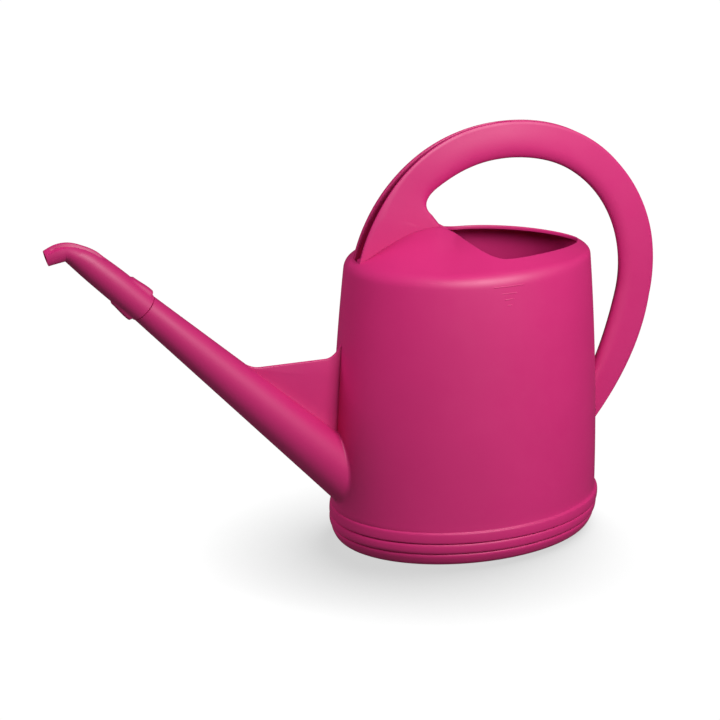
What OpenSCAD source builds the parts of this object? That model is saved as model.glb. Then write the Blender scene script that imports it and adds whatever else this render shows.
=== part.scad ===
// Watering can, 4 litres: an oval tank welded to a base pan, a straight conical
// spout with a turning tip, and a round U-section handle over an oval filler mouth.
// Millimetres, +Z up, origin on the floor at the centre of the base, spout towards -X.

/* [Tank] */
// Half length of the tank's wall just above the foot
tank_a = 101.5; // [95:0.5:110]
// Half width of the tank's wall just above the foot
tank_b = 72.4; // [66:0.1:80]
// Wall thickness of the tank, spout and handle
wall = 2.2; // [1.8:0.1:2.4]
// Height of the weld between the base pan and the tank
weld_z = 18; // [16:0.5:20]
// Height at which the wall turns in to become the top
shoulder_z = 212.4; // [205:0.1:216]

/* [Filler mouth] */
// X of the mouth's widest place
mouth_x = 12; // [8:1:16]
// Half width of the mouth there
mouth_w = 45.2; // [36:0.1:46]
// Length of the mouth in front of its widest place
mouth_front = 26; // [22:1:28]
// Length of the mouth behind its widest place
mouth_rear = 73; // [60:1:73]
// Height of the rim at the mouth's widest place
mouth_z = 219.6; // [218:0.1:222]
// Depth of the rim's turned-down lip
lip = 3; // [3:0.5:5]

/* [Spout] */
// Angle of the spout's axis above the floor
spout_angle = 44.43; // [43.5:0.01:45]
// Distance from the spout cone's point to the end of the tip's sleeve
spout_joint = 208; // [206:0.5:210]
// Half angle of the spout's cone
spout_half_angle = 2.81; // [2.78:0.01:2.84]
// Radius of the spigot that the tip turns on
spigot_r = 8; // [7.8:0.05:8.1]

/* [Tip] */
// Radial running clearance between the tip's sleeve and the spigot
running_gap = 0.05; // [0.02:0.01:0.1]
// Outer radius of the tip's sleeve
sleeve_r = 10.6; // [10.3:0.1:10.8]
// Outer radius of the outlet tube
outlet_r = 5.2; // [4.8:0.1:5.3]
// Radius of the outlet bore
outlet_bore_r = 3.4; // [3:0.1:3.6]

/* [Handle] */
// Radius of the handle's outer edge
handle_r = 118.3; // [117:0.1:119]
// Radial depth of the handle's U section
handle_depth = 26.3; // [24:0.1:28]
// Width of the handle
handle_w = 12; // [11:0.5:15]
// X of the centre of the handle's curve
handle_x = 29.1; // [28:0.1:30]
// Z of the centre of the handle's curve
handle_z = 188.3; // [187:0.1:189]

/* [Hidden] */

pink = [0.80, 0.13, 0.42];
facets = 72;             // points round each oval ring
floor_t = 2.6;           // thickness of the pan's floor
pan_lip_z = 26;          // the pan's weld lip reaches up to here inside the tank
pan_lip_gap = 0.25;      // room between that lip and the tank's wall
band_top = 29.3;         // top of the foot's flared band
taper_h = 203;           // height that the wall's taper is worked out over
arch_start = -86;        // X where the handle's front root meets the top
arch_w = 6;              // half width of the ridge that carries the front root
arch_end = -14;          // X where the ridge meets the mouth
arch_peak_x = -27;       // X of the ridge's highest place
arch_peak_z = 236.5;     // height of the ridge there
mouth_rise = 12.4;       // how far the rim climbs from its widest place to the front
mouth_fall = 3.7;        // how far it drops from there to the rear
shoulder_r = 6.5;        // length of the shoulder's rounding on each side

// Spout cone: its point, and its radius at a distance from that point
cone_x = -387.7;
cone_z = 344.1;
cone_slope = tan(spout_half_angle);
root_dist = 426;         // distance from the cone's point to inside the tank's wall
hole_from_dist = 366;    // where the hole in the tank's wall starts along the same axis
hole_len = 70;
spigot_len = 33;
spigot_bore_r = 6.2;
function cone_r(dist) = dist * cone_slope;

// Tip: distances from the cone's point, and the outlet that turns forward
elbow_dist = 143.5;      // where the outlet's axis meets the spout's
elbow_turn = 58;         // angle between the two axes
outlet_len = 19.15;      // from there to the outlet's mouth
nose_r = 5.6;            // radius of the tip's round end
nose_dist = 145;         // centre of the round end
waist_r = 8.9;           // radius where the round end has opened out
waist_dist = 154;
sleeve_len = 24;
lug_len = 18;
lug_w = 8;
lug_r = 12.8;

// Handle outline: angles are about the centre of its curve, [x, z] points are fixed
tail_from = -10;          // angle where the handle's rear leaves its round curve
tail_out = [103, 72];     // where the outer edge of the tail meets the tank
tail_in = [98, 103];      // where its inner edge meets the tank
root_from = 167;          // angle where the outer edge meets the top at the front
hole_from = 133;          // angle where the hole's round edge ends at the front
web_foot = [-21.7, 234];  // where the hole's front edge meets the ridge
tail_out_reach = 48;     // how straight the tail's outer edge starts off
tail_in_reach = 30;      // the same for its inner edge
root_x = -87;            // front end of the root, just outside the ridge
root_sink = 2.2;         // how far the root is sunk into the ridge
channel_over = 8;        // how far the channel's cut reaches past the outer edge
channel_to = 152;        // angle where the channel's floor ends at the front
channel_end = [-78, 223];    // front corner of the channel's floor
channel_tail = [104, 76];    // rear corner of the channel's cut, inside the tank's wall

// Web between the spout and the wall
weld_sink = 0.6;         // how far welded pieces melt into each other
web_block_off = -3.2;    // oval that trims the web where the wall leans in at its top
web_t = 2.4;             // thickness
web_z = 145.3;           // height of its top edge
web_fillet = 9;          // radius of the sweep up to the tank's wall
web_fillet_x = -107;     // where that sweep starts
web_rear = -90;          // X inside the tank where the plate is cut off by the wall
web_rear_top = 156;
web_rear_low = 70;

// ---- Oval rings -------------------------------------------------------------

// Offset of the outer wall from the driving oval at a height
function taper(z) = 0.97 + 0.70 * z / taper_h - 10.3 * pow(z / taper_h, 2);

function oval(z, off) = [for (i = [0:facets - 1])
    let (t = 360 * i / facets) [(tank_a + off) * cos(t), (tank_b + off) * sin(t), z]];

// Closed skin through a list of rings: quads between neighbours, and either caps
// at both ends or, for a ring-shaped solid, a last row back to the first ring.
module loft(rings, closed) {
    n = len(rings[0]);
    m = len(rings);
    points = [for (ring = rings) for (p = ring) p];
    rows = closed ? m : m - 1;
    sides = [for (j = [0:rows - 1]) for (i = [0:n - 1])
        let (a = j * n + i, b = j * n + (i + 1) % n,
             c = ((j + 1) % m) * n + (i + 1) % n, d = ((j + 1) % m) * n + i)
        each [[a, c, b], [a, d, c]]];
    caps = closed ? [] : [[for (i = [0:n - 1]) i], [for (i = [n - 1:-1:0]) (m - 1) * n + i]];
    polyhedron(points, concat(sides, caps));
}

// ---- Top of the tank --------------------------------------------------------

// Half width and height of the edge that the top runs up to: the ridge under the
// handle's front root, then the mouth's blunt front, then its long tapering rear.
function ahead(x) = min(1, (mouth_x - x) / mouth_front);
function behind(x) = min(1, (x - mouth_x) / mouth_rear);
function edge_w(x) =
    x < arch_end + 0.3 ? arch_w :
    x < mouth_x ? max(arch_w, mouth_w * (1 - pow(ahead(x), 3))) :
    mouth_w * pow(1 - pow(behind(x), 1.55), 0.6);

function edge_z(x) =
    x < arch_peak_x ? shoulder_z + 1.5 + (arch_peak_z - shoulder_z - 1.5)
        * sin(90 * (x - arch_start) / (arch_peak_x - arch_start)) :
    x < arch_end ? arch_peak_z + (mouth_z + mouth_rise - arch_peak_z)
        * (x - arch_peak_x) / (arch_end - arch_peak_x) :
    x < mouth_x ? mouth_z + mouth_rise * pow(ahead(x), 2.2) :
    mouth_z - mouth_fall * pow(behind(x), 2.2);

// X on that edge for each place round the oval
function edge_x(t) =
    let (front = arch_start, rear = mouth_x + mouth_rear - 0.05)
    (front + rear) / 2 + (rear - front) / 2 * cos(t);

function edge_point(t, grow, drop) =
    let (x = edge_x(t), side = sin(t) >= 0 ? 1 : -1, flat = abs(sin(t)) < 0.001)
    [x + grow * cos(t), flat ? 0 : side * (edge_w(x) + grow), edge_z(x) - drop];

// One ring of the top: share 0 is the wall, 1 the edge, with the shoulder rounded
function corner(t) =
    let (off = taper(shoulder_z)) [(tank_a + off) * cos(t), (tank_b + off) * sin(t), shoulder_z];
function toward(from, to, dist) =
    let (gap = norm(to - from)) from + (to - from) * min(0.75, dist / gap);
function shoulder_point(t, share) =
    let (c = corner(t), low = c - [0, 0, shoulder_r], high = toward(c, edge_point(t, 0, 0), shoulder_r))
    low * pow(1 - share, 2) + c * 2 * share * (1 - share) + high * pow(share, 2);
function shoulder(share) = [for (i = [0:facets - 1]) shoulder_point(360 * i / facets, share)];
function top(share) = [for (i = [0:facets - 1])
    let (t = 360 * i / facets) shoulder_point(t, 1) * (1 - share) + edge_point(t, 0, 0) * share];

// ---- Sub-parts --------------------------------------------------------------

// A ring moved inwards by the wall, and down by as much where it is part of the top
function inward(ring, dist, drop) = [for (i = [0:facets - 1])
    let (t = 360 * i / facets) ring[i] - [dist * cos(t), dist * sin(t), drop]];

module tank_skin() {
    band = [[weld_z, 0.2], [weld_z + 0.7, 2], [21, 2.8], [24, 3], [27.6, 3], [28.8, 2.4], [band_top, 1.1]];
    heights = [60, 90, 120, 150, 180, 198];
    outer = concat(
        [for (p = band) oval(p[0], p[1])],
        [for (z = heights) oval(z, taper(z))],
        [for (share = [0, 0.35, 0.65, 1]) shoulder(share)],
        [for (share = [0.4, 0.75]) top(share)],
        [[for (i = [0:facets - 1]) edge_point(360 * i / facets, 0, 0)]]);
    under = [[for (i = [0:facets - 1]) edge_point(360 * i / facets, 0, lip)],
        [for (i = [0:facets - 1]) edge_point(360 * i / facets, 1.4, lip)],
        [for (i = [0:facets - 1]) edge_point(360 * i / facets, 1.4, wall + 0.4)]];
    inner = concat(
        under,
        [inward(top(0.4), 0, wall)],
        [inward(shoulder(0.8), wall * 0.8, wall * 0.9)],
        [for (z = [198, 150, 90, 30, weld_z]) oval(z, taper(z) - wall)]);
    loft(concat(outer, inner), true);
}

// Places a child whose +Z runs from the spout cone's point down towards the tank
module on_spout() {
    translate([cone_x, 0, cone_z]) rotate([0, 90 + spout_angle, 0]) children();
}

module tank() {
    color(pink) difference() {
        tank_skin();
        on_spout() translate([0, 0, hole_from_dist])
            cylinder(h = hole_len, r = cone_r(root_dist - 12) - wall, $fn = 64);
    }
}

module base_pan() {
    skirt = [[0, -5.6], [0.8, -3], [2.4, -1.2], [5, -0.1], [9.8, 0.7], [10.8, -0.2],
        [11.6, -0.2], [12.3, 1.6], [15, 2], [17.2, 1.8], [weld_z, 0.2]];
    lip_off = taper(weld_z) - wall - pan_lip_gap;
    rings = concat(
        [for (p = skirt) oval(p[0], p[1])],
        [oval(weld_z, lip_off), oval(pan_lip_z, lip_off), oval(pan_lip_z, lip_off - 1.8),
         oval(floor_t + 3, lip_off - 2.4), oval(floor_t, lip_off - 5)]);
    color(pink) loft(rings, false);
}

// Solid oval block that trims the spout and its web against the tank's wall
module wall_block(off) {
    linear_extrude(height = 150) polygon([for (p = oval(0, off)) [p[0], p[1]]]);
}

// The solid cone between the tip's sleeve and the tank, made thinner by an inset
module spout_cone(inset) {
    on_spout() translate([0, 0, spout_joint])
        cylinder(h = root_dist - spout_joint, r1 = cone_r(spout_joint) - inset,
            r2 = cone_r(root_dist) - inset, $fn = 96);
}

module spout() {
    color(pink) difference() {
        union() {
            spout_cone(0);
            on_spout() translate([0, 0, spout_joint - spigot_len])
                cylinder(h = spigot_len + 1, r = spigot_r, $fn = 96);
        }
        on_spout() translate([0, 0, spout_joint + 2])
            cylinder(h = root_dist + 20 - spout_joint, r1 = cone_r(spout_joint + 2) - wall,
                r2 = cone_r(root_dist + 22) - wall, $fn = 96);
        on_spout() translate([0, 0, spout_joint - spigot_len - 1])
            cylinder(h = spigot_len + 4, r = spigot_bore_r, $fn = 96);
        wall_block(-weld_sink);
    }
}

module spout_web() {
    top_left = cone_x + (cone_z - web_z) / tan(spout_angle - spout_half_angle);
    color(pink) difference() {
        translate([0, web_t / 2, 0]) rotate([90, 0, 0]) linear_extrude(height = web_t) polygon(concat(
            [[top_left, web_z]],
            [for (t = [0:15:75]) [web_fillet_x + web_fillet * sin(t), web_z + web_fillet * (1 - cos(t))]],
            [[web_rear, web_rear_top], [web_rear, web_rear_low]]));
        spout_cone(weld_sink);
        wall_block(web_block_off);
    }
}

// ---- Handle -----------------------------------------------------------------

function arc(r, from, to, steps) = [for (i = [0:steps])
    let (t = from + (to - from) * i / steps) [handle_x + r * cos(t), handle_z + r * sin(t)]];
function bezier(p, q, r, steps) = [for (i = [1:steps])
    let (s = i / steps) p * pow(1 - s, 2) + q * 2 * s * (1 - s) + r * pow(s, 2)];
function tail(r, end, reach) =
    let (p = arc(r, tail_from, tail_from, 1)[0], dir = [sin(tail_from), -cos(tail_from)])
    bezier(p, p + dir * reach, end, 10);

// Side outline of the whole handle, from its outer edge to its inner one
module handle_outline() {
    inner_r = handle_r - handle_depth;
    foot = [for (x = [-30:-11:-85]) [x, edge_z(x) - root_sink]];
    polygon(concat(
        arc(handle_r, root_from, tail_from, 60),
        tail(handle_r, tail_out, tail_out_reach),
        [tail_in],
        [for (i = [9:-1:0]) tail(inner_r, tail_in, tail_in_reach)[i]],
        arc(inner_r, tail_from, hole_from, 50),
        [web_foot],
        foot,
        [[root_x, shoulder_z - 1]]));
}

module across(width) {
    translate([0, width / 2, 0]) rotate([90, 0, 0]) linear_extrude(height = width) children();
}

// Channel between the flanges: open along the whole outer edge, closed to the grip
module channel_outline() {
    grip_r = handle_r - handle_depth + wall;
    over_r = handle_r + channel_over;
    polygon(concat(
        arc(over_r, root_from - 2, tail_from, 60),
        tail(over_r, tail_out + [channel_over, -channel_over / 2], tail_out_reach),
        [channel_tail],
        [for (i = [9:-1:0]) tail(grip_r, tail_in + [7, 2], tail_in_reach)[i]],
        arc(grip_r, tail_from, channel_to, 50),
        [channel_end]));
}

module handle() {
    color(pink) difference() {
        across(handle_w) handle_outline();
        across(handle_w - 2 * wall) channel_outline();
    }
}

// ---- Tip --------------------------------------------------------------------

// The tip's straight part, turned in one profile: round end, cone, then the sleeve
module nozzle_body() {
    on_spout() {
        rotate_extrude($fn = 96) polygon(concat(
            [for (t = [-90:15:0]) [nose_r * cos(t), nose_dist + nose_r * sin(t)]],
            [[waist_r, waist_dist], [sleeve_r, spout_joint - sleeve_len],
             [sleeve_r, spout_joint], [0, spout_joint]]));
        translate([-lug_r, -lug_w / 2, spout_joint - lug_len]) cube([2 * lug_r, lug_w, lug_len - 1]);
    }
}

// The outlet, or its bore, from where the two axes meet
module outlet(r, tube_len) {
    on_spout() translate([0, 0, elbow_dist]) rotate([0, 180 - elbow_turn, 0])
        cylinder(h = tube_len, r = r, $fn = 96);
}

module nozzle() {
    bore = spigot_r + running_gap;
    seat = spout_joint - spigot_len - 0.3;
    throat = elbow_dist - 1.5;
    color(pink) difference() {
        union() {
            nozzle_body();
            outlet(outlet_r, outlet_len);
        }
        on_spout() rotate_extrude($fn = 96) polygon([[0, throat], [outlet_bore_r + 0.6, throat],
            [spigot_bore_r, seat], [bore, seat], [bore, spout_joint + 1], [0, spout_joint + 1]]);
        outlet(outlet_bore_r, outlet_len + 1);
    }
}

tank();
base_pan();
spout();
spout_web();
handle();
nozzle();
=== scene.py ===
"""Looks of the 4 litre watering can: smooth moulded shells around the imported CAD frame."""

import math
import bpy
import numpy as np
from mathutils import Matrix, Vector


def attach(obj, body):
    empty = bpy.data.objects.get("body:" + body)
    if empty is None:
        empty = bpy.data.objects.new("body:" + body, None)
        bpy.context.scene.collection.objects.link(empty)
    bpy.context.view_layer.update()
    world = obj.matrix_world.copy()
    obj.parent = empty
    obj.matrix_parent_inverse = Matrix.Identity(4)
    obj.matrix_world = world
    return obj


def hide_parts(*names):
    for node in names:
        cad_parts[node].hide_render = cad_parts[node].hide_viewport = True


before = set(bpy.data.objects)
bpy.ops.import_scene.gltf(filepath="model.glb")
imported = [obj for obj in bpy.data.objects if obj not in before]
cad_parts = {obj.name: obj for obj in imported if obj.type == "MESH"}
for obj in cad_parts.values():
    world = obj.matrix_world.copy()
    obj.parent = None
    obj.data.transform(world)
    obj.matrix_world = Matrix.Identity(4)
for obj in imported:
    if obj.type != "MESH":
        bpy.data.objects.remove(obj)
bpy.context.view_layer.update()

MM = 0.001

# Driving dimensions in millimetres, the same as in the CAD source
TANK_A, TANK_B = 101.5, 72.4
WALL = 2.2
WELD_Z, SEAM_Z = 18.0, 19.3                    # hidden joint of the base pan, and the line that shows
FOOT_SHIFT, BAND_SHIFT = 0.2, 0.7              # how far back the foot and its top band stand
BAND_TOP = 29.3
FULL_Z = 203.0                                 # the height that the wall's lean is given for
SHOULDER_Z, SHOULDER_R = 212.4, 7.5
MOUTH_X, MOUTH_W, MOUTH_FRONT, MOUTH_REAR, MOUTH_Z = 12.0, 45.2, 26.0, 73.0, 219.6
MOUTH_RISE, MOUTH_FALL, MOUTH_POWER = 12.4, 3.7, 2.2
LIP = 3.0
RIDGE_START, RIDGE_END, RIDGE_STEPS, RIDGE_W = -86.0, -17.0, 120, 6.0
RIDGE_PEAK_X, RIDGE_PEAK_Z, RIDGE_DROOP = -27.0, 236.5, 0.042
CONE_X, CONE_Z = -387.7, 344.1
SPOUT_ANGLE, CONE_HALF = math.radians(44.43), math.radians(2.81)
JOINT_L, SPIGOT_LEN, SPIGOT_R = 208.0, 33.0, 8.0
ROOT_L = 398.0                                 # the middle of the spout's root, from the cone's point
HANDLE_X, HANDLE_Z, HANDLE_R, HANDLE_DEPTH = 29.1, 188.3, 118.3, 26.3
HANDLE_ANGLES = (-40, 20, 60, 90, 110, 130, 150, 170)         # places round the handle, in degrees
GRIP_HALVES = (5.8, 5.8, 5.4, 5.2, 5.2, 5.6, 7.0, 7.2)        # half its width at the grip, at each of them
RIM_HALVES = (5.8, 5.8, 4.4, 2.5, 3.0, 5.1, 7.0, 7.2)         # half its width at the open outer side
FLANGE, FAR_FLANGE = 1.6, 2.6
TAIL_ANGLE, ARC_START, ARC_END, ROOT_ANGLE = -40, -10, 127.8, 167.0
TAIL_STEPS, GRIP_DEPTH = 22, 9.5

SPOUT_U = np.array([math.cos(SPOUT_ANGLE), 0.0, -math.sin(SPOUT_ANGLE)])   # down the spout
SPOUT_V = np.array([-math.sin(SPOUT_ANGLE), 0.0, -math.cos(SPOUT_ANGLE)])  # to its underside
APEX = np.array([CONE_X, 0.0, CONE_Z])
ROUND = 2 * math.pi
SHARP_ANGLE = math.radians(50)                # edges that bend more than this stay crisp


# ---- Mesh helpers -------------------------------------------------------------

def bezier(points, steps, skip_first=False):
    """Points along a Bezier curve of any degree."""
    pts = np.array(points, float)
    degree = len(pts) - 1
    t = np.linspace(0, 1, steps + 1)[:, None]
    curve = sum(math.comb(degree, i) * (1 - t) ** (degree - i) * t ** i * pts[i] for i in range(degree + 1))
    return curve[1:] if skip_first else curve


def smooth(edge0, edge1, x):
    t = np.clip((np.asarray(x, float) - edge0) / (edge1 - edge0), 0, 1)
    return t * t * (3 - 2 * t)


def grid_piece(name, grid, material, close_rows=False, cap_ends=False):
    """A mesh object from rings[row][column] in millimetres; the columns always close."""
    grid = np.asarray(grid, float)
    rows, cols = grid.shape[:2]
    faces = []
    for j in range(rows if close_rows else rows - 1):
        k = (j + 1) % rows
        for i in range(cols):
            n = (i + 1) % cols
            faces.append((j * cols + i, j * cols + n, k * cols + n, k * cols + i))
    if cap_ends:
        faces.append(tuple(range(cols - 1, -1, -1)))
        faces.append(tuple((rows - 1) * cols + i for i in range(cols)))
    mesh = bpy.data.meshes.new(name)
    mesh.from_pydata((grid.reshape(-1, 3) * MM).tolist(), [], faces)
    mesh.validate()
    piece = bpy.data.objects.new(name, mesh)
    bpy.context.scene.collection.objects.link(piece)
    mesh.materials.append(material)
    mesh.shade_smooth()
    mesh.set_sharp_from_angle(angle=SHARP_ANGLE)
    return piece


# ---- Material -----------------------------------------------------------------

DEEP_PINK, PALE_PINK = (0.580, 0.0175, 0.160, 1), (0.620, 0.0200, 0.174, 1)


def plastic(name):
    """Satin injection-moulded polypropylene: fine grain, faint flow marks and handling marks."""
    mat = bpy.data.materials.new(name)
    mat.use_nodes = True
    nodes, links = mat.node_tree.nodes, mat.node_tree.links
    shader = nodes["Principled BSDF"]
    shader.inputs["IOR"].default_value = 1.49
    shader.inputs["Specular IOR Level"].default_value = 0.6
    shader.inputs["Subsurface Weight"].default_value = 0.0
    place = nodes.new("ShaderNodeTexCoord")

    def noise(scale, detail, rough=0.5):
        node = nodes.new("ShaderNodeTexNoise")
        node.inputs["Scale"].default_value = scale
        node.inputs["Detail"].default_value = detail
        node.inputs["Roughness"].default_value = rough
        links.new(place.outputs["Object"], node.inputs["Vector"])
        return node

    flow = noise(9.0, 3.0)
    tone = nodes.new("ShaderNodeValToRGB")
    tone.color_ramp.elements[0].position = 0.35
    tone.color_ramp.elements[1].position = 0.70
    tone.color_ramp.elements[0].color = DEEP_PINK
    tone.color_ramp.elements[1].color = PALE_PINK
    links.new(flow.outputs["Fac"], tone.inputs["Fac"])
    links.new(tone.outputs["Color"], shader.inputs["Base Color"])

    wear = noise(60.0, 4.0, 0.6)
    gloss = nodes.new("ShaderNodeMapRange")
    gloss.inputs["From Min"].default_value = 0.3
    gloss.inputs["From Max"].default_value = 0.7
    gloss.inputs["To Min"].default_value = 0.46
    gloss.inputs["To Max"].default_value = 0.54
    links.new(wear.outputs["Fac"], gloss.inputs["Value"])
    links.new(gloss.outputs["Result"], shader.inputs["Roughness"])

    grain = noise(1400.0, 2.0)
    bump = nodes.new("ShaderNodeBump")
    bump.inputs["Strength"].default_value = 0.12
    bump.inputs["Distance"].default_value = 0.00008
    links.new(grain.outputs["Fac"], bump.inputs["Height"])
    links.new(bump.outputs["Normal"], shader.inputs["Normal"])
    return mat


# ---- Tank ---------------------------------------------------------------------

RINGS = 360                                   # points round each oval ring
ANGLES = np.arange(RINGS) * ROUND / RINGS


def taper(z):
    """Offset of the outer wall from the driving oval at a height: the wall leans in towards the top."""
    share = np.asarray(z, float) / FULL_Z
    return 0.97 + 0.70 * share - 10.3 * share * share


def oval(z, off):
    return np.stack([(TANK_A + off) * np.cos(ANGLES), (TANK_B + off) * np.sin(ANGLES),
                     np.full(RINGS, float(z))], -1)


def foot_oval(z, off):
    """The foot's mouldings stand a little towards the rear."""
    ring = oval(z, off)
    ring[:, 0] += (FOOT_SHIFT + BAND_SHIFT * float(smooth(12, 27, z))) * float(smooth(BAND_TOP, 27.5, z))
    return ring


def mouth_edge():
    """One side (y > 0) of the edge that the top runs up to, from the front ridge to the mouth's rear."""
    ridge_x = np.linspace(RIDGE_START, RIDGE_END, RIDGE_STEPS)
    rise = np.sin(np.pi / 2 * np.clip((ridge_x - RIDGE_START) / (RIDGE_PEAK_X - RIDGE_START), 0, 1))
    foot = SHOULDER_Z + 1.5
    ridge_z = foot + (RIDGE_PEAK_Z - foot) * rise
    past = np.clip(ridge_x - RIDGE_PEAK_X, 0, None)
    ridge_z = ridge_z - RIDGE_DROOP * past ** 2
    ridge = np.stack([ridge_x, np.full(RIDGE_STEPS, RIDGE_W), ridge_z], -1)
    ahead = np.linspace(0.955, 0.0, 120)       # share of the way from the widest place to the front
    front = np.stack([MOUTH_X - MOUTH_FRONT * ahead, MOUTH_W * (1 - ahead ** 3),
                      MOUTH_Z + MOUTH_RISE * ahead ** MOUTH_POWER], -1)
    back = np.sin(np.linspace(0, math.pi / 2, 160)[1:])
    width = MOUTH_W * np.clip(1 - back ** 1.55, 0, 1) ** 0.6
    rear = np.stack([MOUTH_X + MOUTH_REAR * back, width, MOUTH_Z - MOUTH_FALL * back ** MOUTH_POWER], -1)
    return np.concatenate([ridge, front, rear])


def resample(line, shares):
    steps = np.linalg.norm(np.diff(line, axis=0), axis=1)
    along = np.concatenate([[0], np.cumsum(steps)])
    along /= along[-1]
    return np.stack([np.interp(shares, along, line[:, k]) for k in range(3)], -1)


def edge_ring():
    """The whole edge, matched point for point to the oval rings."""
    half = mouth_edge()
    shares = 1 - np.abs(((ANGLES + math.pi) % ROUND) - math.pi) / math.pi
    ring = resample(half, shares)
    side = np.where(np.sin(ANGLES) >= 0, 1.0, -1.0)
    ring[:, 1] *= side
    ring[0, 1] = 0.0
    for _ in range(6):                        # soften the corner where the ridge meets the mouth
        ring[1:-1] = (ring[:-2] + 2 * ring[1:-1] + ring[2:]) / 4
    return ring


def outward(ring):
    """Unit normals in plan, pointing out of a ring that runs anticlockwise."""
    ahead = np.roll(ring, -1, axis=0) - np.roll(ring, 1, axis=0)
    normal = np.stack([ahead[:, 1], -ahead[:, 0], np.zeros(len(ring))], -1)
    return normal / np.linalg.norm(normal, axis=1)[:, None]


def tank_rings():
    """Rings from the foot up the outside, over the mouth's lip and down the inside."""
    seam = SEAM_Z + 0.15
    band = bezier([(seam, -0.6), (seam, 2.2), (seam + 1.2, 2.5)], 6)
    band = np.concatenate([[(WELD_Z + 0.15, -0.6)], band,
                           bezier([(seam + 1.2, 2.5), (23.5, 2.8), (26.0, 2.5)], 6, True),
                           bezier([(26.0, 2.5), (27.6, 2.35), (27.8, 1.7)], 6, True),
                           bezier([(27.8, 1.9), (27.9, 1.05), (BAND_TOP, 1.06)], 5, True)])
    rings = [foot_oval(z, off) for z, off in band]
    top_of_wall = SHOULDER_Z - SHOULDER_R
    rings += [oval(z, taper(z)) for z in np.linspace(32, top_of_wall, 60)]
    corner = oval(SHOULDER_Z, taper(SHOULDER_Z))
    edge = edge_ring()
    gap = edge - corner
    reach = np.linalg.norm(gap, axis=1)[:, None]
    ahead = np.cos(ANGLES)
    rounding = SHOULDER_R * (1 - 0.50 * smooth(0.3, 0.95, ahead) - 0.18 * smooth(-0.3, -0.95, ahead))
    start_z = SHOULDER_Z - rounding
    start = np.stack([(TANK_A + taper(start_z)) * ahead,
                      (TANK_B + taper(start_z)) * np.sin(ANGLES), start_z], -1)
    end = corner + gap * np.minimum(0.7, rounding[:, None] / reach)
    for s in np.linspace(0, 1, 15)[1:]:
        rings.append(start * (1 - s) ** 2 + corner * 2 * s * (1 - s) + end * s ** 2)
    up = np.array([0, 0, 1.0])
    out = outward(edge)
    before_rim = edge + out * 1.0
    before_rim[:, 2] = edge[:, 2] - 0.1
    for s in np.linspace(0, 1, 26)[1:]:
        rings.append(end * (1 - s) + before_rim * s)
    for s in np.linspace(0, math.pi / 2, 5)[1:]:
        rings.append(edge + out * (1.0 - math.sin(s)) - up * (1.1 - math.cos(s)))
    for drop in (2.4, LIP - 0.5):
        rings.append(edge - up * drop)
    for width, drop in ((0.5, LIP), (1.4, LIP), (1.7, LIP - 0.6), (1.9, WALL + 0.3)):
        rings.append(edge + out * width - up * drop)
    under = end - up * WALL
    for s in (0.3, 0.6, 1.0):
        rings.append((edge + out * 2.1 - up * (WALL + 0.1)) * (1 - s) + under * s)
    inner_low = oval(top_of_wall, taper(top_of_wall) - WALL)
    inner_corner = oval(SHOULDER_Z - WALL, taper(SHOULDER_Z) - WALL)
    for s in np.linspace(0, 1, 7)[1:]:
        rings.append(under * (1 - s) ** 2 + inner_corner * 2 * s * (1 - s) + inner_low * s ** 2)
    rings += [oval(z, taper(z) - WALL) for z in np.linspace(top_of_wall - 6, WELD_Z + 0.15, 32)]
    return rings


def make_tank(material):
    return grid_piece("tank_shell", tank_rings(), material, close_rows=True)


def make_base_pan(material):
    """The floor with the two lower bands and the lip that stands up inside the tank."""
    profile = bezier([(0.0, -8.6), (0.0, -4.0), (3.2, -1.7), (6.0, -0.6)], 10)
    profile = np.concatenate([profile, bezier([(6.0, -0.6), (9.0, 0.8), (10.2, 0.8), (10.7, 0.1)], 6, True),
                              bezier([(10.7, 0.1), (10.9, -0.5), (11.2, -0.5), (11.5, 0.1)], 5, True),
                              bezier([(11.5, 0.1), (11.8, 1.5), (12.6, 1.8), (14.5, 2.1)], 7, True),
                              bezier([(14.5, 2.1), (17.5, 2.4), (18.9, 2.2), (SEAM_Z - 0.1, 1.1)], 7, True),
                              [(SEAM_Z, -0.5), (WELD_Z, -0.5)]])
    rings = [oval(1.2, -26), oval(1.2, -14.5), oval(1.0, -13.9), oval(0.2, -13.1), oval(0.0, -12.5)]
    rings += [foot_oval(z, off) for z, off in profile]
    lip_off = float(taper(WELD_Z)) - WALL - 0.25
    rings += [oval(WELD_Z, lip_off), oval(25.5, lip_off), oval(26.0, lip_off - 0.5),
              oval(26.0, lip_off - 1.3), oval(25.5, lip_off - 1.8), oval(8.0, lip_off - 2.0),
              oval(5.2, lip_off - 2.6), oval(3.6, lip_off - 4.2), oval(3.2, lip_off - 6.5), oval(3.2, -26)]
    return grid_piece("base_pan_shell", rings, material, cap_ends=True)


# ---- Spout --------------------------------------------------------------------

def on_spout(dist, radius, turn):
    """A point round the spout's axis; turn 0 is its upper side."""
    return (APEX + SPOUT_U * dist - SPOUT_V * (radius * math.cos(turn))
            + np.array([0, 1.0, 0]) * (radius * math.sin(turn)))


def wall_gap(point, inset=0.0):
    """Below zero inside the tank's outer wall, above zero outside it."""
    off = float(taper(point[2])) - inset
    return (point[0] / (TANK_A + off)) ** 2 + (point[1] / (TANK_B + off)) ** 2 - 1


def meet_wall(thickness, turn, inset=0.0):
    """Distance along the cone's generatrix at which it meets the tank's wall."""
    low, high = 320.0, 460.0
    for _ in range(50):
        mid = (low + high) / 2
        point = on_spout(mid, mid * math.tan(CONE_HALF) - thickness, turn)
        if wall_gap(point, inset) > 0:
            low = mid
        else:
            high = mid
    return low


def on_wall(point, sink):
    """The point moved in plan on to the tank's outer wall, sunk by a little."""
    off = float(taper(point[2])) - sink
    scale = 1 / math.sqrt((point[0] / (TANK_A + off)) ** 2 + (point[1] / (TANK_B + off)) ** 2)
    return np.array([point[0] * scale, point[1] * scale, point[2]])


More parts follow.
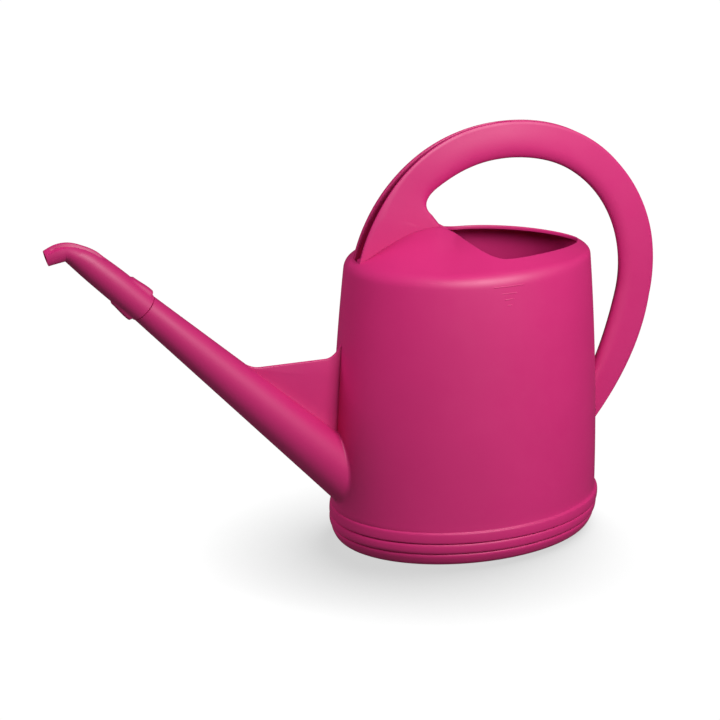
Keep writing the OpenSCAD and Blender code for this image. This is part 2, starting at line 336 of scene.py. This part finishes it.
def make_spout(material):
    """A hollow cone, with the spigot at its upper end and a fillet where it meets the tank."""
    turns = np.arange(160) * ROUND / 160
    fillet = 2.6
    slope = math.tan(CONE_HALF)
    shoulder = JOINT_L + 0.9                  # where the cone starts, just past the tip's sleeve
    root_centre = APEX + SPOUT_U * ROOT_L
    columns = []
    for turn in turns:
        hit = meet_wall(0.0, turn)
        corner = on_spout(hit, hit * slope, turn)
        away = corner - root_centre
        away[0] = 0.0
        away /= np.linalg.norm(away)
        foot = on_wall(corner + away * fillet, 0.05)
        start = on_spout(hit - fillet, (hit - fillet) * slope, turn)
        column = [on_spout(JOINT_L - SPIGOT_LEN, SPIGOT_R - 1.8, turn),
                  on_spout(JOINT_L - SPIGOT_LEN, SPIGOT_R - 0.6, turn),
                  on_spout(JOINT_L - SPIGOT_LEN + 0.6, SPIGOT_R, turn)]
        column += [on_spout(d, SPIGOT_R, turn) for d in (184.0, 196.0, JOINT_L + 0.3)]
        column += [on_spout(JOINT_L + 0.3, 9.0, turn), on_spout(shoulder, shoulder * slope, turn)]
        for s in np.linspace(0, 1, 30)[1:]:
            dist = shoulder * (1 - s) + (hit - fillet) * s
            column.append(on_spout(dist, dist * slope, turn))
        for s in np.linspace(0, 1, 9)[1:]:
            column.append(start * (1 - s) ** 2 + corner * 2 * s * (1 - s) + foot * s ** 2)
        column.append(on_wall(foot, 1.0))
        inside = meet_wall(WALL, turn, WALL - 0.2)
        column.append(on_spout(inside, inside * slope - WALL, turn))
        for s in np.linspace(0, 1, 10)[1:]:
            dist = inside * (1 - s) + (JOINT_L + 3.0) * s
            column.append(on_spout(dist, dist * slope - WALL, turn))
        column.append(on_spout(JOINT_L - 3.0, SPIGOT_R - 1.8, turn))
        columns.append(column)
    grid = np.array(columns).transpose(1, 0, 2)
    return grid_piece("spout_cone", grid, material, close_rows=True)


def spout_top_z(x):
    """Height of the spout's upper line in the plane of symmetry."""
    return CONE_Z + (CONE_X - x) * math.tan(SPOUT_ANGLE - CONE_HALF)


def make_spout_web(material):
    """A thin plate with a rounded top edge, swept up into the spout and the wall at its ends."""
    half, web_z, crown = 1.2, 145.3, 0.9
    left_x = CONE_X + (CONE_Z - web_z) / math.tan(SPOUT_ANGLE - CONE_HALF)
    left = bezier([(left_x - 5.2, spout_top_z(left_x - 5.2) - 0.2), (left_x + 0.4, web_z + 0.1),
                   (left_x + 6.5, web_z)], 8)
    right = bezier([(-109.5, web_z), (-101.2, web_z + 0.3), (-96.6, 156.5)], 12, True)
    wall_x = -(TANK_A + float(taper(120)) - 1.4)
    side = ((0.25, half), (0.5, half), (0.75, half), (0.93, half + 0.15))    # share down, half width
    crown_turns = np.linspace(0, math.pi, 9)
    rings = []
    for x, z in np.concatenate([left, right]):
        low_x = min(x, wall_x)
        edge, foot = np.array([x, z]), np.array([low_x, spout_top_z(low_x) - 1.2])
        ring = [(x, half * math.cos(turn), z - crown + crown * math.sin(turn)) for turn in crown_turns]
        down = [(*(edge * (1 - share) + foot * share), width, share) for share, width in side]
        ring += [(px, -width, pz - crown * (1 - share)) for px, pz, width, share in down]
        ring += [(foot[0], -half - 0.7, foot[1]), (foot[0], half + 0.7, foot[1])]
        ring += [(px, width, pz - crown * (1 - share)) for px, pz, width, share in reversed(down)]
        rings.append(ring)
    return grid_piece("spout_web_plate", rings, material, cap_ends=True)


# ---- Handle -------------------------------------------------------------------

def arc_point(radius, degrees):
    a = math.radians(degrees)
    return np.array([HANDLE_X + radius * math.cos(a), HANDLE_Z + radius * math.sin(a)])


def ridge_height(x):
    line = mouth_edge()[:RIDGE_STEPS]
    return float(np.interp(x, line[:, 0], line[:, 2]))


def eased(angle, places, values):
    """A value read off a list by angle, with its corners rounded."""
    return float(np.mean(np.interp(angle + np.linspace(-5, 5, 11), places, values)))


def outer_point(angle):
    """The bow isn't quite round: its outline swells and sinks a little on its way over the top."""
    fade = smooth(36, 52, angle) * smooth(156, 140, angle)
    wave = 0.5 * math.cos(math.radians(5.8 * (angle - 57))) * fade
    swell = 0.35 * smooth(0, 15, angle) + wave - 0.85 * smooth(140, 156, angle) - 0.1
    return arc_point(HANDLE_R + float(swell), angle)


def inner_swell(angle):
    """The grip side lies a little deeper to the rear than on top of the bow."""
    return float(0.38 + 0.4 * smooth(10, 45, angle) - 1.35 * smooth(57, 86, angle)
                 + 0.25 * smooth(92, 106, angle) + 0.35 * smooth(118, 130, angle))


def handle_stations():
    """Inner point, outer point, depth of the rounded grip side and place round the curve."""
    inner_r = HANDLE_R - HANDLE_DEPTH
    stations = []
    tail_inner = bezier([(99.2, 104.0), (113.0, 136.1), arc_point(inner_r + 0.4, ARC_START)], TAIL_STEPS)
    tail_outer = bezier([(100.2, 68.5), (139.7, 117.5), outer_point(ARC_START)], TAIL_STEPS)
    tail_angles = np.linspace(TAIL_ANGLE, ARC_START, TAIL_STEPS + 1)
    stations += [(i, o, GRIP_DEPTH, a) for i, o, a in zip(tail_inner, tail_outer, tail_angles)]
    for a in np.linspace(ARC_START, ARC_END, 116)[1:]:
        stations.append((arc_point(inner_r + inner_swell(a), a), outer_point(a), GRIP_DEPTH, a))
    corner_low = (-29.0, 243.6)
    corner = bezier([arc_point(inner_r, ARC_END), (-38.6, 251.8), corner_low], 14, True)
    edge = bezier([corner_low, (-24.0, 236.8), (-17.5, 229.5)], 10, True)
    foot_x = np.concatenate([[-22.0, -28.0], np.linspace(-34, -84, 18)])
    foot = np.array([(x, ridge_height(x) - 3.2) for x in foot_x])
    inner = np.concatenate([corner, edge, foot])
    depth = np.concatenate([np.linspace(GRIP_DEPTH, 6.5, 14), np.linspace(6.5, 4, 10),
                            np.linspace(3.0, 1.2, len(foot))])
    angle = np.linspace(ARC_END, ROOT_ANGLE, len(inner) + 1)[1:]
    stations += [(i, outer_point(a), d, a) for i, a, d in zip(inner, angle, depth)]
    return stations


def handle_section(inner, outer, grip, angle):
    """Closed U: near face, rounded grip side, far face with its line, then the channel back."""
    axis = outer - inner
    depth = float(np.linalg.norm(axis))
    axis = axis / depth
    w = eased(angle, HANDLE_ANGLES, GRIP_HALVES)
    rim = eased(angle, HANDLE_ANGLES, RIM_HALVES)
    wide = float(smooth(100, 128, angle))
    t_far = FLANGE + (FAR_FLANGE - FLANGE) * wide
    flat = np.linspace(depth - 0.3, grip, 9)

    def half(u):
        """Half the width at a depth; the faces draw in from the grip to the open side."""
        return w + (rim - w) * float(smooth(grip, depth + 8, u)) / float(smooth(grip, depth + 8, depth))

    near = [(depth, -rim + FLANGE - 0.3), (depth, -rim + 0.3)] + [(u, -half(u)) for u in flat]
    bowl = [(grip * (1 - math.sin(a)), -w * math.cos(a)) for a in np.linspace(0, math.pi, 21)[1:-1]]
    line, cut = rim - t_far / 2, 0.8 * wide       # a fine line along the broad far flange
    far = [(u, half(u)) for u in flat[::-1]]
    far += [(depth, rim - 0.3), (depth, line + 0.45), (depth - cut, line + 0.1),
            (depth - cut, line - 0.1), (depth, line - 0.45), (depth, rim - t_far + 0.3)]
    floor = min(grip + 1.2, depth - 2.0)
    floor_u = min(FLANGE + 0.6, floor)
    inside = [depth - 0.3] + list(np.linspace(depth - 2.0, floor, 6))
    shift, reach = (FLANGE - t_far) / 2, half(floor) - (FLANGE + t_far) / 2
    channel = [(u, half(u) - t_far) for u in inside]
    channel += [(floor - (floor - floor_u) * math.sin(a), shift + reach * math.cos(a))
                for a in np.linspace(0, math.pi, 13)[1:-1]]
    channel += [(u, FLANGE - half(u)) for u in inside[::-1]]
    loop = near + bowl + far + channel
    return [(inner[0] + axis[0] * u, y, inner[1] + axis[1] * u) for u, y in loop]


def make_handle(material):
    rings = [handle_section(*station) for station in handle_stations()]
    return grid_piece("handle_bow", rings, material, cap_ends=True)


# ---- Tip ----------------------------------------------------------------------

TIP_PIVOT = (144.7, 9.3)                     # the sharp inner corner of the elbow
TIP_STRAIGHT = 160.0                         # the bend starts above this distance from the cone's point
CREST_MIDDLE = (-279.5, 245.9)               # the highest stretch of the bend, as x and z
MOUTH_LOW, MOUTH_UP = (-301.9, 234.0), (-304.7, 244.4)
BORE_R, SEAT_R = 6.2, 8.05                   # the water way, and the bore that sits on the spigot
TIP_COLUMNS = 96


def in_plane(dist, side):
    """Point in the plane of symmetry: side is positive towards the spout's underside."""
    p = APEX + SPOUT_U * dist + SPOUT_V * side
    return np.array([p[0], p[2]])


def tip_stations():
    """Lower point, upper point, half width, rib share and lug share, from the sleeve to the mouth."""
    stations = []
    sleeve = np.concatenate([[JOINT_L, JOINT_L - 0.4, JOINT_L - 1.0, JOINT_L - 1.8],
                             np.linspace(JOINT_L - 3, 187, 19), np.linspace(184, TIP_STRAIGHT, 20)])
    for dist in sleeve:
        narrow = max(0.0, (186 - dist) / 26) ** 1.5
        lug = smooth(JOINT_L - 1.6, JOINT_L - 3.0, dist) * smooth(187.6, 188.6, dist)
        lug_height = lug * (0.45 + 0.55 * smooth(188, 203, dist))
        stations.append((in_plane(dist, 10.7 - 0.6 * narrow), in_plane(dist, 1.4 * narrow - 10.5),
                         10.6 - 0.9 * narrow, smooth(166, 158, dist), lug_height))
    low, up = stations[-1][0], stations[-1][1]
    crest = np.concatenate([bezier([up, (-271.3, 242.7), CREST_MIDDLE], 20),
                            bezier([CREST_MIDDLE, (-285.0, 248.4), (-294.0, 251.3), MOUTH_UP], 40, True)])
    steps = np.concatenate([[0], np.cumsum(np.linalg.norm(np.diff(crest, axis=0), axis=1))])
    pivot = in_plane(*TIP_PIVOT)
    for share in np.linspace(0, 1, 45)[1:]:
        top = np.array([np.interp(share * steps[-1], steps, crest[:, k]) for k in (0, 1)])
        slide, leave = min(1.0, share / 0.30), max(0.0, (share - 0.66) / 0.34)
        bottom = low + (pivot - low) * slide + (np.array(MOUTH_LOW) - pivot) * leave
        half = np.interp(share, (0, 0.30, 0.66, 1), (9.7, 9.1, 6.9, 5.3))
        stations.append((bottom, top, half, 1.0 - smooth(0.80, 0.97, share), 0.0))
    return stations


def tip_ring(low, up, half, rib, lug, inset=0.0):
    """A ring between its lower and upper points, with the crest's rib and grooves and the two lugs."""
    centre = (low + up) / 2
    reach = (up - low) / 2
    length = float(np.linalg.norm(reach))
    reach = reach / length
    ring = []
    for turn in np.arange(TIP_COLUMNS) * ROUND / TIP_COLUMNS:
        y = math.sin(turn) * (half - inset)
        u = math.cos(turn) * (length - inset)
        if inset == 0.0:
            if rib > 0 and math.cos(turn) > 0:
                u += rib * (0.2 * math.exp(-(y / 0.9) ** 4) - 3.2 * math.exp(-((abs(y) - 2.9) / 1.5) ** 4))
            if lug > 0:
                pad = float(smooth(5.2, 4.2, abs(y)))
                u += math.copysign(2.3 * lug * pad, u)
        ring.append((centre[0] + reach[0] * u, y, centre[1] + reach[1] * u))
    return ring


def make_nozzle(material):
    """The bent tip: its outside, round the mouth, and back inside to the bore over the spigot."""
    stations = tip_stations()
    rings = [tip_ring(*st) for st in stations]
    mouth = stations[-1]
    rings.append(tip_ring(*mouth[:3], 0, 0, inset=0.5))
    rings.append(tip_ring(*mouth[:3], 0, 0, inset=1.4))
    back = stations[-30:-1][::-1]
    rings += [tip_ring(*st[:3], 0, 0, inset=1.5 + 0.1 * n) for n, st in enumerate(back[::3])]
    seat = JOINT_L - SPIGOT_LEN - 0.3
    turns = np.arange(TIP_COLUMNS) * ROUND / TIP_COLUMNS
    for dist, radius in ((seat - 8, BORE_R - 0.2), (seat, BORE_R), (seat, SEAT_R),
                         (JOINT_L - 1, SEAT_R), (JOINT_L, 8.6), (JOINT_L, 9.7)):
        rings.append([tuple(on_spout(dist, radius, t)) for t in turns])
    return grid_piece("nozzle_tip", rings, material, close_rows=True)


# ---- Fill mark ----------------------------------------------------------------

MARK_X = 3.5                                 # the scale's middle line on the near side of the wall


def wall_bar(x0, x1, z, height, proud=0.45):
    """A low rounded bar on the near side of the tank's wall."""
    rings = []
    for x in np.linspace(x0, x1, 15):
        end = min(x - x0, x1 - x)
        swell = math.sqrt(max(0.0, 1 - (1 - min(1.0, end / 0.6)) ** 2))
        ring = []
        for turn in np.linspace(0, math.pi, 9):
            zz = z + math.cos(turn) * height / 2 * max(0.15, swell)
            off = float(taper(zz)) + (proud * math.sin(turn) * swell - 0.15)
            y = -(TANK_B + off) * math.sqrt(1 - (x / (TANK_A + off)) ** 2)
            ring.append((x, y, zz))
        rings.append(ring)
    return rings


def make_level_marks(material):
    """Generic fill scale: a long line at the full level and three short steps under it."""
    bars = ((26.0, 205.6, 1.1), (13.0, 200.6, 0.9), (8.0, 196.4, 0.9), (4.0, 192.2, 0.9))
    return [grid_piece("level_mark_%d" % n, wall_bar(MARK_X - long / 2, MARK_X + long / 2, z, height),
                       material, cap_ends=True) for n, (long, z, height) in enumerate(bars)]


# ---- Assembly -----------------------------------------------------------------

can_plastic = plastic("pink_polypropylene")
tip_plastic = plastic("pink_polypropylene_tip")

PIECES = (("tank", make_tank, can_plastic), ("base_pan", make_base_pan, can_plastic),
          ("spout", make_spout, can_plastic), ("spout_web", make_spout_web, can_plastic),
          ("handle", make_handle, can_plastic), ("nozzle", make_nozzle, tip_plastic))
for node, make, material in PIECES:
    made = make(material)
    body = "tip" if node == "nozzle" else "can"
    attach(made, body)
    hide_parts(node)
for mark in make_level_marks(can_plastic):
    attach(mark, "can")


# ---- Floor, light and camera --------------------------------------------------

FLOOR_REACH = 6.0                            # metres from the middle to the sweep's edge
SHADOW_LEAN, SHADOW_REACH = (0.9, 0.5, 1.0), 0.11    # which way and how far the floor's occlusion test looks when it paints the contact shadow
# PAINTED_SHADOW_WHITE is the floor's glow at the darkest of its painted contact shadow; FLOOR_WHITE is the
# open floor.
PAINTED_SHADOW_WHITE, FLOOR_WHITE, FLOOR_BOUNCE = 0.64, 1.02, 0.24
ROOM_SEEN, ROOM_LIGHT, ROOM_GLOSS = 1.05, 0.17, 0.35
LIGHT_AIM = (0, 0, 0.15)


def by_ray(tree, ray, yes, no):
    """A value that is one thing to rays of a kind, such as Is Camera Ray, and another to the rest."""
    path = tree.nodes.new("ShaderNodeLightPath")
    value = tree.nodes.new("ShaderNodeMapRange")
    value.inputs["To Min"].default_value = no
    value.inputs["To Max"].default_value = yes
    tree.links.new(path.outputs[ray], value.inputs["Value"])
    return value.outputs["Result"]


def multiplied(tree, first, second):
    product = tree.nodes.new("ShaderNodeMath")
    product.operation = "MULTIPLY"
    tree.links.new(first, product.inputs[0])
    tree.links.new(second, product.inputs[1])
    return product.outputs["Value"]


def make_floor():
    """A white sweep whose soft contact shadow is painted into its glow from ambient occlusion, and which
    throws little light back up.
    """
    mesh = bpy.data.meshes.new("floor")
    reach = FLOOR_REACH
    mesh.from_pydata([(-reach, -reach, 0), (reach, -reach, 0), (reach, reach, 0), (-reach, reach, 0)],
                     [], [(0, 1, 2, 3)])
    floor = bpy.data.objects.new("floor", mesh)
    bpy.context.scene.collection.objects.link(floor)
    mat = bpy.data.materials.new("pale_floor")
    mat.use_nodes = True
    tree = mat.node_tree
    shader = tree.nodes["Principled BSDF"]
    shader.inputs["Roughness"].default_value = 0.9
    shader.inputs["Specular IOR Level"].default_value = 0.0
    shader.inputs["Emission Color"].default_value = (1, 1, 1, 1)
    lean = tree.nodes.new("ShaderNodeCombineXYZ")
    for axis, value in zip("XYZ", SHADOW_LEAN):
        lean.inputs[axis].default_value = value
    open_sky = tree.nodes.new("ShaderNodeAmbientOcclusion")
    open_sky.samples = 32
    open_sky.inputs["Distance"].default_value = SHADOW_REACH
    tree.links.new(lean.outputs["Vector"], open_sky.inputs["Normal"])
    # Painted shadow: the glow that the camera sees is dimmed by occlusion near the can, and not by the
    # lamps.
    painted_shadow_glow = tree.nodes.new("ShaderNodeMapRange")
    painted_shadow_glow.inputs["From Min"].default_value = 0.45
    painted_shadow_glow.inputs["From Max"].default_value = 0.92
    painted_shadow_glow.inputs["To Min"].default_value = PAINTED_SHADOW_WHITE
    painted_shadow_glow.inputs["To Max"].default_value = FLOOR_WHITE
    tree.links.new(open_sky.outputs["AO"], painted_shadow_glow.inputs["Value"])
    seen = by_ray(tree, "Is Camera Ray", 1.0, 0.0)
    tree.links.new(multiplied(tree, painted_shadow_glow.outputs["Result"], seen), shader.inputs["Emission Strength"])
    tree.links.new(by_ray(tree, "Is Camera Ray", 0.0, FLOOR_BOUNCE), shader.inputs["Base Color"])
    mesh.materials.append(mat)
    floor.visible_glossy = False


def area_light(name, place, size, power, shines=True):
    """A soft box aimed at the can; one that doesn't shine adds no highlights."""
    light = bpy.data.lights.new(name, "AREA")
    light.shape = "RECTANGLE"
    light.size, light.size_y = size
    light.energy = power
    lamp = bpy.data.objects.new(name, light)
    bpy.context.scene.collection.objects.link(lamp)
    lamp.location = place
    lamp.visible_glossy = shines
    aim(lamp, LIGHT_AIM)


def aim(thing, target):
    way = Vector(target) - Vector(thing.location)
    thing.rotation_euler = way.to_track_quat("-Z", "Y").to_euler()


def make_world():
    world = bpy.data.worlds.new("studio")
    world.use_nodes = True
    tree = world.node_tree
    back = tree.nodes["Background"]
    back.inputs["Color"].default_value = (1, 1, 1, 1)
    level = by_ray(tree, "Is Camera Ray", ROOM_SEEN, ROOM_LIGHT)
    dimmed = by_ray(tree, "Is Glossy Ray", ROOM_GLOSS, 1.0)
    tree.links.new(multiplied(tree, level, dimmed), back.inputs["Strength"])
    bpy.context.scene.world = world


def make_camera():
    data = bpy.data.cameras.new("camera")
    data.lens = 93.65
    data.sensor_width = 36
    camera = bpy.data.objects.new("camera", data)
    bpy.context.scene.collection.objects.link(camera)
    camera.location = (-0.5211, -1.1825, 0.5869)
    aim(camera, (-0.08274, 0.0, 0.14137))
    bpy.context.scene.camera = camera


make_camera()
make_floor()
make_world()
area_light("key", (0.20, -0.72, 0.70), (0.40, 0.40), 8.6)
area_light("rim", (-0.90, 0.22, 0.80), (0.5, 0.5), 5.4, shines=False)
bpy.context.scene.view_settings.view_transform = "Standard"
